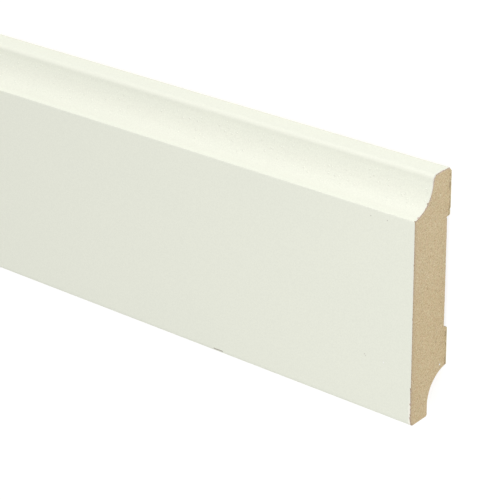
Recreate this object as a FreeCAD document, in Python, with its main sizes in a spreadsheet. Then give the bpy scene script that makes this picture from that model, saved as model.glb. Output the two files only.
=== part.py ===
import FreeCAD, Part
import math
import os
from types import SimpleNamespace

import Sketcher

# A length of moulded skirting board, one piece of stock. Sizes in millimetres, angles in degrees.
# It lies on its back pads with the face up: X runs along the length, Y from the bottom edge to the
# top edge and Z from the back to the face. The origin is under the middle of the board.
SIZES = [
    ("board_length", 2400.0, "cut length as sold"),
    ("board_height", 70.0, "bottom edge to top edge, as the board stands on a wall"),
    ("board_thickness", 15.0, "back pads to face"),
    ("toe_radius", 1.2, "rounding between the face and the underside"),
    ("underside_angle", 5.5, "rise of the underside towards the wall"),
    ("lip_radius", 0.6, "rounding between the underside and the back of the lip"),
    ("rear_cove_depth", 7.8, "how far the rear cove is cut into the back"),
    ("rear_cove_radius", 9.8, "hollow of the rear cove"),
    ("rear_cove_top", 13.3, "bottom edge up to the end of the rear cove"),
    ("lower_pad_height", 10.9, "flat back between the rear cove and the relief"),
    ("upper_pad_height", 13.4, "flat back from the relief to the top edge, bevel included"),
    ("relief_depth", 1.34, "how far the back is planed down between its pads"),
    ("relief_run_out", 0.45, "height taken by each sloping end of the relief"),
    ("pad_edge_radius", 0.3, "softened edge of each back pad at the relief"),
    ("back_bevel_height", 1.15, "bevel at the top back edge, measured down the back"),
    ("back_bevel_width", 1.1, "bevel at the top back edge, measured across the top"),
    ("top_angle", 3.9, "fall of the top edge towards the room"),
    ("nose_radius", 1.4, "rounding between the top and the front of the nose"),
    ("nose_height", 2.1, "top edge down to the start of the front cove"),
    ("front_cove_depth", 7.15, "how far the front cove is cut in from the face"),
    ("front_cove_radius", 9.23, "hollow of the front cove"),
    ("foot_radius", 0.3, "rounding between the front cove and the face"),
]

# The numbers that a sketch gives to the points of an edge, and to its own horizontal axis,
# which lies in the plane of the back pads.
START, END, CENTRE = 1, 2, 3
BACK_PLANE = -1

# How near a solid's edge has to pass to a corner of the section to be the edge of that corner.
CORNER_TOLERANCE = 0.01


def make_sheet(doc):
    """The spreadsheet of driving sizes: name, value and meaning in each row."""
    sheet = doc.addObject("Spreadsheet::Sheet", "Sizes")
    for row, (name, value, meaning) in enumerate(SIZES, start=1):
        sheet.set(f"A{row}", name)
        sheet.set(f"B{row}", str(value))
        sheet.set(f"C{row}", meaning)
        sheet.setAlias(f"B{row}", name)
    doc.recompute()
    return sheet


def read_sizes(sheet):
    """The sheet's values under their names."""
    return SimpleNamespace(**{name: sheet.get(name) for name, _, _ in SIZES})


def origin_plane(body, role):
    """The plane of the body's own origin that has this role."""
    return next(plane for plane in body.Origin.OriginFeatures if plane.Role == role)


def point(across, out):
    """A point of the section: height above the bottom edge, and distance out from the back."""
    return FreeCAD.Vector(across, out, 0)


def on_circle(centre, radius, degrees):
    """The point of a circle at an angle from the direction of the top edge."""
    turn = math.radians(degrees)
    return centre + FreeCAD.Vector(math.cos(turn), math.sin(turn), 0) * radius


def line(start, end):
    return Part.LineSegment(start, end)


def arc(centre, radius, start_degrees, end_degrees):
    """An arc that runs anticlockwise between two angles."""
    circle = Part.Circle(centre, FreeCAD.Vector(0, 0, 1), radius)
    return Part.ArcOfCircle(circle, math.radians(start_degrees), math.radians(end_degrees))


def lower_outline(size):
    """Face, toe, underside, lip and rear cove, from the front round to the lower back pad."""
    toe_centre = point(size.toe_radius, size.board_thickness - size.toe_radius)
    under = 180 + size.underside_angle
    slope = math.radians(size.underside_angle)

    lip_out = size.rear_cove_depth + size.lip_radius
    lip_up = (
        toe_centre.x
        + (toe_centre.y - lip_out) * math.tan(slope)
        - (size.toe_radius - size.lip_radius) / math.cos(slope)
    )
    lip_centre = point(lip_up, lip_out)

    cove_radius = size.rear_cove_radius
    cove_out = size.rear_cove_depth - cove_radius
    cove_end = math.degrees(math.asin(-cove_out / cove_radius))
    cove_up = size.rear_cove_top - cove_radius * math.cos(math.radians(cove_end))
    cove_centre = point(cove_up, cove_out)

    return {
        "toe": arc(toe_centre, size.toe_radius, 90, under),
        "underside": line(
            on_circle(toe_centre, size.toe_radius, under),
            on_circle(lip_centre, size.lip_radius, under),
        ),
        "lip": arc(lip_centre, size.lip_radius, under, 270),
        "lip_back": line(
            point(lip_up, size.rear_cove_depth), point(cove_up, size.rear_cove_depth)
        ),
        "rear_cove": arc(cove_centre, cove_radius, cove_end, 90),
    }


def back_outline(size):
    """The back: lower pad, relief and upper pad, then the bevel at the top edge."""
    relief_start = size.rear_cove_top + size.lower_pad_height
    relief_end = size.board_height - size.upper_pad_height
    floor_start = relief_start + size.relief_run_out
    floor_end = relief_end - size.relief_run_out
    bevel_start = size.board_height - size.back_bevel_height
    corners = [
        point(size.rear_cove_top, 0),
        point(relief_start, 0),
        point(floor_start, size.relief_depth),
        point(floor_end, size.relief_depth),
        point(relief_end, 0),
        point(bevel_start, 0),
        point(size.board_height, size.back_bevel_width),
    ]
    names = ("lower_pad", "lower_run_out", "relief_floor", "upper_run_out", "upper_pad", "bevel")
    return {
        name: line(start, end) for name, start, end in zip(names, corners, corners[1:])
    }


def upper_outline(size):
    """Top, nose, front cove and foot, from the bevel round to the face."""
    nose_front = size.board_thickness - size.front_cove_depth
    nose_out = nose_front - size.nose_radius
    fall = math.radians(size.top_angle)
    nose_up = (
        size.board_height
        - (nose_out - size.back_bevel_width) * math.tan(fall)
        - size.nose_radius / math.cos(fall)
    )
    nose_centre = point(nose_up, nose_out)

    cove_centre = point(
        size.board_height - size.nose_height, nose_front + size.front_cove_radius
    )
    foot_out = size.board_thickness - size.foot_radius
    reach = size.front_cove_radius + size.foot_radius
    foot_degrees = math.degrees(math.asin((cove_centre.y - foot_out) / reach))
    foot_centre = point(
        cove_centre.x - reach * math.cos(math.radians(foot_degrees)), foot_out
    )

    return {
        "top": line(
            point(size.board_height, size.back_bevel_width),
            on_circle(nose_centre, size.nose_radius, size.top_angle),
        ),
        "nose": arc(nose_centre, size.nose_radius, size.top_angle, 90),
        "nose_front": line(point(nose_up, nose_front), point(cove_centre.x, nose_front)),
        "front_cove": arc(cove_centre, size.front_cove_radius, 180 + foot_degrees, 270),
        "foot": arc(foot_centre, size.foot_radius, foot_degrees, 90),
        "face": line(
            point(foot_centre.x, size.board_thickness),
            point(size.toe_radius, size.board_thickness),
        ),
    }


def join_edges(sketch, edge):
    """Closes the outline: smooth where a rounding meets its neighbours, a corner elsewhere."""
    smooth = [
        ("face", END, "toe", START),
        ("toe", END, "underside", START),
        ("underside", END, "lip", START),
        ("lip", END, "lip_back", START),
        ("lip_back", END, "rear_cove", END),
        ("top", END, "nose", START),
        ("nose", END, "nose_front", START),
        ("nose_front", END, "front_cove", END),
        ("front_cove", START, "foot", START),
        ("foot", END, "face", START),
    ]
    corners = [
        ("rear_cove", START, "lower_pad", START),
        ("lower_pad", END, "lower_run_out", START),
        ("lower_run_out", END, "relief_floor", START),
        ("relief_floor", END, "upper_run_out", START),
        ("upper_run_out", END, "upper_pad", START),
        ("upper_pad", END, "bevel", START),
        ("bevel", END, "top", START),
    ]
    for kind, joins in (("Tangent", smooth), ("Coincident", corners)):
        for one, one_end, other, other_end in joins:
            sketch.addConstraint(
                Sketcher.Constraint(kind, edge[one], one_end, edge[other], other_end)
            )
    for name in ("face", "lip_back", "lower_pad", "relief_floor", "upper_pad", "nose_front"):
        sketch.addConstraint(Sketcher.Constraint("Horizontal", edge[name]))
    for name in ("lower_pad", "upper_pad"):
        sketch.addConstraint(
            Sketcher.Constraint("PointOnObject", edge[name], START, BACK_PLANE)
        )


def add_dimension(sketch, name, rule, kind, *where):
    """Adds a named dimension, at the value of its rule, and ties it to the sheet."""
    value = sketch.evalExpression(rule)
    if kind == "Angle":
        value = math.radians(value.Value)
    number = sketch.addConstraint(Sketcher.Constraint(kind, *where, value))
    sketch.renameConstraint(number, name)
    sketch.setExpression(f"Constraints.{name}", rule)


def dimension_edges(sketch, edge):
    """Gives the outline its sizes, each from the sheet."""
    for name in ("toe", "lip", "nose", "foot", "rear_cove", "front_cove"):
        size_name = f"{name}_radius"
        add_dimension(sketch, size_name, f"Sizes.{size_name}", "Radius", edge[name])

    thicknesses = [
        ("board_thickness", [("face", START)]),
        ("front_cove_depth", [("nose_front", START), ("face", START)]),
        ("rear_cove_depth", [("lip_back", START)]),
        ("relief_depth", [("relief_floor", START)]),
        ("back_bevel_width", [("top", START)]),
    ]
    heights = [
        ("board_height", [("top", START)]),
        ("rear_cove_top", [("rear_cove", START)]),
        ("lower_pad_height", [("lower_pad", START), ("lower_pad", END)]),
        ("upper_pad_height", [("upper_pad", START), ("top", START)]),
        ("back_bevel_height", [("bevel", START), ("bevel", END)]),
        ("nose_height", [("front_cove", CENTRE), ("top", START)]),
    ]
    for kind, sizes in (("DistanceY", thicknesses), ("DistanceX", heights)):
        for name, ends in sizes:
            where = [number for at, end in ends for number in (edge[at], end)]
            add_dimension(sketch, name, f"Sizes.{name}", kind, *where)

    # The toe touches the line of the bottom edge, and both ends of the relief run out alike.
    add_dimension(sketch, "toe_up", "Sizes.toe_radius", "DistanceX", edge["toe"], CENTRE)
    for name in ("lower_run_out", "upper_run_out"):
        where = (edge[name], START, edge[name], END)
        add_dimension(sketch, name, "Sizes.relief_run_out", "DistanceX", *where)

    turns = [
        ("underside_turn", "(270 + Sizes.underside_angle) * 1 deg", "underside"),
        ("top_turn", "(90 + Sizes.top_angle) * 1 deg", "top"),
    ]
    for name, rule, at in turns:
        add_dimension(sketch, name, rule, "Angle", edge[at])


def make_section(body, size):
    """The board's section, drawn face up on the plane across its length."""
    sketch = body.newObject("Sketcher::SketchObject", "BoardSection")
    sketch.AttachmentSupport = (origin_plane(body, "YZ_Plane"), [""])
    sketch.MapMode = "FlatFace"
    shapes = {**lower_outline(size), **back_outline(size), **upper_outline(size)}
    edge = {name: sketch.addGeometry(shape) for name, shape in shapes.items()}
    join_edges(sketch, edge)
    dimension_edges(sketch, edge)
    return sketch, edge


def long_edges(shape, sketch, corners):
    """Names of the solid's edges that run along the board through corners of its section."""
    names = []
    for corner in corners:
        at = sketch.getPoint(*corner)
        for number, solid_edge in enumerate(shape.Edges, start=1):
            places = [vertex.Point for vertex in solid_edge.Vertexes]
            if all(math.hypot(p.y - at.x, p.z - at.y) < CORNER_TOLERANCE for p in places):
                names.append(f"Edge{number}")
    return names


def make_board(doc, sheet):
    """The moulded length: its section run both ways from the middle, with softened pad edges."""
    body = doc.addObject("PartDesign::Body", "SkirtingBoard")
    body.Label = "skirting_board"
    body.setExpression("Placement.Base.y", "-Sizes.board_height / 2")
    sketch, edge = make_section(body, read_sizes(sheet))

    moulding = body.newObject("PartDesign::Pad", "Moulding")
    moulding.Profile = sketch
    moulding.SideType = "Symmetric"
    moulding.setExpression("Length", "Sizes.board_length")
    doc.recompute()

    soft_edges = body.newObject("PartDesign::Fillet", "PadEdges")
    pad_corners = [(edge["lower_pad"], END), (edge["upper_pad"], START)]
    soft_edges.Base = (moulding, long_edges(moulding.Shape, sketch, pad_corners))
    soft_edges.setExpression("Radius", "Sizes.pad_edge_radius")
    doc.recompute()
    return body


def check(doc, body):
    """Stops if any object failed or the board's solid is unsound."""
    for item in doc.Objects:
        if "Invalid" in item.State or "Error" in item.State:
            raise RuntimeError(f"{item.Name} failed: {item.State}")
    if body.Shape.isNull() or not body.Shape.isValid():
        raise RuntimeError(f"{body.Label} has no sound solid")


def main():
    doc = FreeCAD.newDocument("SkirtingBoardLength")
    board = make_board(doc, make_sheet(doc))
    check(doc, board)
    os.makedirs("parts", exist_ok=True)
    board.Shape.exportStep(f"parts/{board.Label}.step")


main()
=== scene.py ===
import math
import random

import bmesh
import bpy
import numpy as np
from mathutils import Matrix, Vector, noise
from mathutils.geometry import delaunay_2d_cdt


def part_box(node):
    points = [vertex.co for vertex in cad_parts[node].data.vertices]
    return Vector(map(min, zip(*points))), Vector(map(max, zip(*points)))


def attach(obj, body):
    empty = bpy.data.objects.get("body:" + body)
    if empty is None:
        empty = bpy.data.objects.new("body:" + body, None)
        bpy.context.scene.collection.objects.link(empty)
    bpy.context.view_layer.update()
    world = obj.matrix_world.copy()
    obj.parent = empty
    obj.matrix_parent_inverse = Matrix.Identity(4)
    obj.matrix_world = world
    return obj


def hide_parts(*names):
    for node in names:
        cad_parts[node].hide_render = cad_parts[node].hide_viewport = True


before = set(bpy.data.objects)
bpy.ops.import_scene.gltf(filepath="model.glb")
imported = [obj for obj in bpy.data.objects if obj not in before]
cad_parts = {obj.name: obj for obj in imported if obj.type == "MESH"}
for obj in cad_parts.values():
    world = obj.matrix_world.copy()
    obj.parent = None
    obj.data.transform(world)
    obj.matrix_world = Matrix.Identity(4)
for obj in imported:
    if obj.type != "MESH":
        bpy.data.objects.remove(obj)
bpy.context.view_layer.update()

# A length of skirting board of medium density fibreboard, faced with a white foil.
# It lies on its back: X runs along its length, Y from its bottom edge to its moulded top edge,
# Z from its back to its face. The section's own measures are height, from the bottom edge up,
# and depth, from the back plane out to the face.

bl_info = {
    "name": "Skirting board length",
    "version": (1, 0, 0),
    "blender": (4, 5, 0),
    "location": "3D View > Sidebar > Skirting",
    "description": "Makes a foil faced length of skirting board and the studio that it is shown in",
    "category": "Add Mesh",
}

NODE = "skirting_board"
BODY = "root"
RAW_BOARD = "Raw fibreboard"
MOULDING = "Moulded length"
FIBRES = "Torn fibres"
BAKE_MAP = "OFBake"

BOARD_LOW, BOARD_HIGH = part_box(NODE)
MM = 0.001
RIGHT = math.radians(90)

# Mesh attributes: each holds a number for every point or face, which a later step or a finish reads.
# FAR_OFF is the distance that is stored where nothing is near.
FROM_FOIL = "from_foil"
FROM_RAW = "from_raw_edge"
FROM_EDGE = "from_edge"
RUNNING = "running"
THICKNESS = "thickness"
CHIP = "chip"
CUT = "cut_end"
TONE = "tone"
FAR_OFF = 10 * MM

# Greatest spacing of an outline's points, how near two of them count as one, and how near the end of a
# moulding its points count as the end's
POINT_SPACING = 0.25 * MM
SAME_POINT = 0.001 * MM
END_REACH = 0.01 * MM

# Greatest turn from point to point of an arc, and the turns from which walls and sawn ends keep a sharp edge
ARC_STEP = math.radians(6)
WALL_CREASE = math.radians(24)
END_CREASE = math.radians(40)

# Bays along the board, and sides of a torn fibre
BAYS = 8
FIBRE_SIDES = 5

# How far sawn faces and loose fibres stay inside the solid's ends, and the body runs into the end slices
FACE_SET_BACK = 0.02 * MM
FIBRE_SET_BACK = 0.01 * MM
SLICE_LAP = 0.05 * MM


def metres(name, description, value):
    """A length property."""
    return bpy.props.FloatProperty(
        name=name, description=description, default=value, min=0.0,
        precision=5, unit="LENGTH", subtype="DISTANCE",
    )


def millimetres(name, description, value):
    """A length property, given in millimetres and held in metres."""
    return metres(name, description, value * MM)


def degrees(name, description, value):
    """An angle property, given in degrees and held in radians."""
    return bpy.props.FloatProperty(
        name=name, description=description, default=math.radians(value), unit="ROTATION", subtype="ANGLE",
    )


def share(name, description, value, highest=1.0):
    """A plain number from 0 to highest."""
    return bpy.props.FloatProperty(
        name=name, description=description, default=value, min=0.0, max=highest, subtype="FACTOR",
    )


def whole(name, description, value):
    """A whole number."""
    return bpy.props.IntProperty(name=name, description=description, default=value)


def colour(name, description, value):
    """A linear colour property."""
    return bpy.props.FloatVectorProperty(
        name=name, description=description, default=value, size=3, min=0.0, max=1.0, subtype="COLOR",
    )


def point(name, description, value):
    """A point in the board's frame."""
    return bpy.props.FloatVectorProperty(
        name=name, description=description, default=value, size=3, unit="LENGTH", subtype="TRANSLATION",
    )


class SkirtingSection(bpy.types.PropertyGroup):
    """Sizes of the board and of its moulded section."""

    length: metres("Length", "From sawn end to sawn end", BOARD_HIGH.x - BOARD_LOW.x)
    height: metres("Height", "From the bottom edge to the top edge", BOARD_HIGH.y - BOARD_LOW.y)
    thickness: metres("Thickness", "From the back pads to the face", BOARD_HIGH.z - BOARD_LOW.z)
    toe_radius: millimetres("Toe radius", "Rounding between face and underside", 1.2)
    underside_angle: degrees("Underside angle", "How far the underside rises towards the back", 5.5)
    lip_radius: millimetres("Lip radius", "Rounding at the back of the foot", 0.6)
    rear_cove_depth: millimetres("Rear cove depth", "From the back plane to the wall of the rear cove", 7.8)
    rear_cove_radius: millimetres("Rear cove radius", "Radius of the cove behind the foot", 9.8)
    rear_cove_top: millimetres("Rear cove top", "Height at which the rear cove meets the back", 13.3)
    lower_pad: millimetres("Lower pad", "Height of the pad above the rear cove", 10.9)
    upper_pad: millimetres("Upper pad", "Height of the pad at the top, bevel included", 13.4)
    relief_depth: millimetres("Relief depth", "How deep the back is planed away between the pads", 1.34)
    relief_slope: millimetres("Relief slope", "Height of the slope from each pad into the relief", 0.45)
    pad_edge: millimetres("Pad edge radius", "Rounding of the pads' inner edges", 0.3)
    bevel_height: millimetres("Back bevel height", "Height of the bevel at the top of the back", 1.15)
    bevel_width: millimetres("Back bevel width", "Depth of that bevel", 1.1)
    top_angle: degrees("Top angle", "How far the top falls towards the front", 3.9)
    nose_radius: millimetres("Nose radius", "Rounding of the top's front edge", 1.4)
    nose_height: millimetres("Nose height", "From the top edge down to the cove", 2.1)
    cove_depth: millimetres("Cove depth", "From the face back to the deepest line of the front cove", 7.15)
    cove_radius: millimetres("Cove radius", "Radius of the cove in front", 9.23)
    foot_radius: millimetres("Foot radius", "Rounding between the cove and the face", 0.3)


class SkirtingFoil(bpy.types.PropertyGroup):
    """The white foil and the way its ends are cut."""

    thickness: millimetres("Foil thickness", "Foil and glue together on the flat face", 0.05)
    nose_thickness: millimetres("Nose thickness", "Foil and glue together where they are thickest", 0.5)
    wrap: degrees("Wrap", "How far the foil goes round the toe, measured on its rounding", 80.0)
    tint: colour("Foil colour", "Warm white of the foil", (0.85, 0.866, 0.753))
    tint_worn: colour("Second colour", "The slightly greyer white that clouds it", (0.84, 0.858, 0.748))
    # The cove colour is painted shade: a darker foil colour for the lower cove and the nose, where they catch
    # the most light
    painted_shade_tint: colour("Cove colour", "Where the foil is stretched, low in the cove", (0.829, 0.84, 0.731))
    # The paper colour also goes on a strip beside the near end, where it is partly a painted highlight
    cut_tint: colour("Bared paper", "White paper that the saw bares on the edge", (0.945, 0.93, 0.825))
    roughness: share("Foil roughness", "How satin the foil is", 0.42)
    speckle: share("Speckle", "How much the fine paper speckle changes the colour", 0.04)
    peel_size: millimetres("Peel size", "Width of the foil's fine dimples", 0.42)
    peel_height: millimetres("Peel height", "Height of the foil's fine dimples", 0.02)
    fray: millimetres("Fray", "How far the saw frays the foil's end all along the section", 0.06)
    seed: whole("Seed", "Start of the foil's random numbers", 7)


class SkirtingFibreboard(bpy.types.PropertyGroup):
    """The raw fibreboard, which shows on the back, in the rear cove and on the sawn ends."""

    tint: colour("Fibreboard colour", "Straw brown of the raw board", (0.73, 0.585, 0.357))
    pale: colour("Pale fleck colour", "Light wood fibres", (0.95, 0.87, 0.66))
    dark: colour("Dark fleck colour", "Bark and dark fibres", (0.33, 0.24, 0.14))
    glue: colour("Glue colour", "Mauve line of glue between fibreboard and foil", (0.58, 0.445, 0.39))
    glue_pale: colour("Cove glue colour", "The same glue round cove and nose", (0.69, 0.55, 0.5))
    glue_line: millimetres("Glue line", "Width of the glue line that shows on a sawn end", 0.28)
    fleck_size: millimetres("Fleck size", "Width of a fleck", 0.32)
    tear: millimetres("Tear", "How deep the saw tears fibres out of an end", 0.06)
    arris_wear: millimetres("Arris wear", "How far the raw edges of an end crumble", 0.06)
    slice: millimetres("End slice", "Thickness of the finely modelled slice at each end", 1.0)
    grain: millimetres("End grain", "Spacing of the mesh points on a sawn end", 0.3)
    fibres: whole("Torn fibres", "Fibres that stand out of each sawn end", 1200)
    fibre_length: millimetres("Fibre length", "Length of a torn fibre", 0.55)
    fibre_width: millimetres("Fibre width", "Thickness of a torn fibre", 0.07)
    seed: whole("Seed", "Start of the fibreboard's random numbers", 11)


class SkirtingStudio(bpy.types.PropertyGroup):
    """Camera, light and floor."""

    camera_place: point("Camera place", "Where the camera stands", (1.54932, 0.25405, 0.46334))
    camera_aim: point("Camera aim", "Point of the face that it looks at", (1.14279, 0.00017, 0.015))
    camera_roll: degrees("Camera roll", "Turn of the camera about its own view", 0.2383)
    lens: bpy.props.FloatProperty(
        name="Lens", description="Focal length in millimetres", default=171.576, subtype="DISTANCE_CAMERA",
    )
    ambient: share("Ambient light", "Strength of the light that comes from everywhere", 0.647, 5.0)
    floor_tint: colour("Floor colour", "Pale floor", (0.86, 0.86, 0.86))
    floor_size: metres("Floor size", "Side of the floor", 160.0)


# The section's outline


def on_circle(centre, radius, angle):
    return Vector((centre[0] + radius * math.cos(angle), centre[1] + radius * math.sin(angle)))


def arc(centre, radius, start, end):
    """Points along an arc, both ends included. Angles run from the height axis towards depth."""
    sweep = end - start
    steps = max(math.ceil(abs(sweep) / ARC_STEP), math.ceil(abs(sweep) * radius / POINT_SPACING))
    return [on_circle(centre, radius, start + sweep * i / steps) for i in range(steps + 1)]


def rounded(before, corner, after, radius):
    """Points of an arc that rounds the corner between two straight lines."""
    towards = (before - corner).normalized()
    away = (after - corner).normalized()
    half = towards.angle(away) / 2
    bisector = (towards + away).normalized()
    centre = corner + bisector * (radius / math.sin(half))
    first = corner + towards * (radius / math.tan(half)) - centre
    last = corner + away * (radius / math.tan(half)) - centre
    start = math.atan2(first.y, first.x)
    return arc(centre, radius, start, start - first.angle_signed(last))


def filled(points):
    """The same path with more points along its long straight stretches, and none twice."""
    path = [points[0]]
    for target in points[1:]:
        start = path[-1].copy()
        run = (target - start).length
        if run < SAME_POINT:
            continue
        steps = max(1, math.ceil(run / POINT_SPACING))
        path += [start.lerp(target, i / steps) for i in range(1, steps + 1)]
    return path


def toe_centre(section):
    return Vector((section.toe_radius, section.thickness - section.toe_radius))


def foot_angle(section):
    """Direction from the foot's centre to the cove's centre, and so to the point where the two meet."""
    gap = section.cove_radius + section.foot_radius
    return math.asin((section.cove_radius - section.cove_depth + section.foot_radius) / gap)


def coated_path(section, foil):
    """The foil's outer line: from under the toe up the face, round the cove and nose, to the back bevel."""
    face = section.thickness
    floor = face - section.cove_depth
    cove_centre = Vector((section.height - section.nose_height, floor + section.cove_radius))
    turn = foot_angle(section)
    reach = (section.cove_radius + section.foot_radius) * math.cos(turn)
    foot_centre = Vector((cove_centre.x - reach, face - section.foot_radius))
    nose_depth = floor - section.nose_radius
    fall = math.tan(section.top_angle) * (nose_depth - section.bevel_width)
    nose_top = section.height - fall
    nose_centre = Vector((nose_top - section.nose_radius / math.cos(section.top_angle), nose_depth))
    return filled(
        arc(toe_centre(section), section.toe_radius, RIGHT + foil.wrap, RIGHT)
        + arc(foot_centre, section.foot_radius, RIGHT, turn)
        + arc(cove_centre, section.cove_radius, math.pi + turn, 3 * RIGHT)
        + arc(nose_centre, section.nose_radius, RIGHT, section.top_angle)
        + [Vector((section.height, section.bevel_width))]
    )


def raw_path(section, foil):
    """The bare outline: from the bevel down the back, through the rear cove, to the foil under the toe."""
    bevel_foot = Vector((section.height - section.bevel_height, 0.0))
    bevel_share = 1 - foil.thickness / section.bevel_height
    bevel_top = bevel_foot.lerp(Vector((section.height, section.bevel_width)), bevel_share)
    upper_edge = Vector((section.height - section.upper_pad, 0.0))
    relief_top = Vector((upper_edge.x - section.relief_slope, section.relief_depth))
    pad_foot = Vector((section.rear_cove_top, 0.0))
    lower_edge = Vector((section.rear_cove_top + section.lower_pad, 0.0))
    relief_foot = Vector((lower_edge.x + section.relief_slope, section.relief_depth))
    radius = section.rear_cove_radius
    cove_drop = radius - section.rear_cove_depth
    cove_end = math.asin(cove_drop / radius)
    cove_centre = Vector((section.rear_cove_top - radius * math.cos(cove_end), -cove_drop))
    under = section.underside_angle
    toe = toe_centre(section)
    lip_depth = section.rear_cove_depth + section.lip_radius
    toe_under = on_circle(toe, section.toe_radius, math.pi + under)
    rise = math.tan(under) * (toe_under.y - lip_depth)
    lip = Vector((toe_under.x + rise + section.lip_radius / math.cos(under), lip_depth))
    return filled(
        [bevel_top, bevel_foot]
        + rounded(bevel_foot, upper_edge, relief_top, section.pad_edge)
        + [relief_top, relief_foot]
        + rounded(relief_foot, lower_edge, pad_foot, section.pad_edge)
        + arc(cove_centre, radius, cove_end, RIGHT)
        + arc(lip, section.lip_radius, 3 * RIGHT, math.pi + under)
        + arc(toe, section.toe_radius, math.pi + under, RIGHT + foil.wrap)
    )


def inward(path):
    """The direction into the board at each point of a path that has the board on its right."""
    directions = [(b - a).normalized() for a, b in zip(path, path[1:])]
    directions = [directions[0], *directions, directions[-1]]
    found = []
    for before, after in zip(directions, directions[1:]):
        mean = (before + after).normalized()
        found.append(Vector((mean.y, -mean.x)) / max(mean.dot(after), 0.5))
    return found


# Where foil and glue are thicker than on the flat face: height and depth in millimetres of a point of the
# section, and how far their thickness there lies between that on the face and that on the nose
FOIL_BED = (
    (60.4, 11.65, 0.0),
    (62.5, 9.6, 0.15),
    (64.7, 8.4, 0.22),
    (66.3, 8.0, 0.4),
    (67.8, 7.85, 0.45),
    (68.05, 7.85, 0.9),
    (68.3, 7.85, 0.49),
    (69.2, 7.45, 1.0),
    (69.45, 7.1, 0.95),
    (69.6, 6.7, 0.45),
    (69.66, 6.35, 0.1),
    (69.7, 5.5, 0.0),
    (69.72, 4.8, 0.0),
    (69.75, 4.35, 0.5),
    (69.78, 3.9, 0.0),
    (70.0, 1.1, 0.0),
)


def runs_along(path):
    """How far along an open path each of its points lies."""
    return np.cumsum([0.0] + [(b - a).length for a, b in zip(path, path[1:])])


def running_shares(path, closed):
    """How far along the path each point lies, as a share of the whole."""
    run = runs_along(path + path[:1] if closed else path)
    return (run / run[-1])[: len(path)]


def nearest_on(path, height, depth):
    """Number of the path's point that lies nearest to a place of the section, given in millimetres."""
    spot = Vector((height, depth)) * MM
    return min(range(len(path)), key=lambda i: (path[i] - spot).length)


def foil_thicknesses(path, foil):
    """Thickness of foil and glue at each point of the foil's outer line."""
    run = runs_along(path)
    marks = [run[nearest_on(path, height, depth)] for height, depth, _ in FOIL_BED]
    shares = np.interp(run, marks, [thicker for _, _, thicker in FOIL_BED])
    return [foil.thickness + (foil.nose_thickness - foil.thickness) * s for s in shares]


def board_outline(section, foil):
    """The fibreboard's closed outline, and which of its points lie under the foil."""
    raw = raw_path(section, foil)
    path = coated_path(section, foil)
    bed = zip(path, inward(path), foil_thicknesses(path, foil))
    return raw + [spot + into * thick for spot, into, thick in bed], [False] * len(raw) + [True] * len(path)


# Node trees


class Nodes:
    """A node tree under construction."""

    def __init__(self, tree):
        self.tree = tree

    def node(self, kind, settings=None, **inputs):
        """A node with its settings and inputs. An input is a value or another node's output.

        It goes by its name, with an underscore for each blank, or by its number, as in i0 or i7.
        """
        made = self.tree.nodes.new(kind)
        for name, value in (settings or {}).items():
            setattr(made, name, value)
        for name, value in inputs.items():
            numbered = name[0] == "i" and name[1:].isdigit()
            socket = made.inputs[int(name[1:]) if numbered else name.replace("_", " ")]
            if isinstance(value, bpy.types.NodeSocket):
                self.tree.links.new(value, socket)
            else:
                socket.default_value = value
        return made

    def out(self, kind, settings=None, **inputs):
        """The first output of such a node."""
        return self.node(kind, settings, **inputs).outputs[0]

    def maths(self, operation, first, second=0.0, third=0.0):
        return self.out("ShaderNodeMath", {"operation": operation}, i0=first, i1=second, i2=third)

    def product(self, first, second):
        return self.maths("MULTIPLY", first, second)


SOCKETS = {
    bool: "NodeSocketBool",
    int: "NodeSocketInt",
    float: "NodeSocketFloat",
    type(None): "NodeSocketMaterial",
}


class Modelling(Nodes):
    """Geometry nodes under construction, with inputs of the kinds of their defaults. None is a material."""

    def __init__(self, name, inputs):
        super().__init__(bpy.data.node_groups.new(name, "GeometryNodeTree"))
        sockets = self.tree.interface
        sockets.new_socket("Geometry", in_out="INPUT", socket_type="NodeSocketGeometry")
        for label, value in inputs.items():
            socket = sockets.new_socket(label, in_out="INPUT", socket_type=SOCKETS[type(value)])
            if value is not None:
                socket.default_value = value
        sockets.new_socket("Geometry", in_out="OUTPUT", socket_type="NodeSocketGeometry")
        self.given = self.tree.nodes.new("NodeGroupInput").outputs

    def random_vector(self, seed, low, high):
        return self.out("FunctionNodeRandomValue", {"data_type": "FLOAT_VECTOR"}, i0=low, i1=high, Seed=seed)

    def ended(self, geometry):
        """The tree, ended with real geometry that is all of the given material."""
        real = self.out("GeometryNodeRealizeInstances", Geometry=geometry)
        painted = self.out("GeometryNodeSetMaterial", Geometry=real, Material=self.given["Material"])
        self.tree.links.new(painted, self.tree.nodes.new("NodeGroupOutput").inputs[0])
        return self.tree


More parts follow.
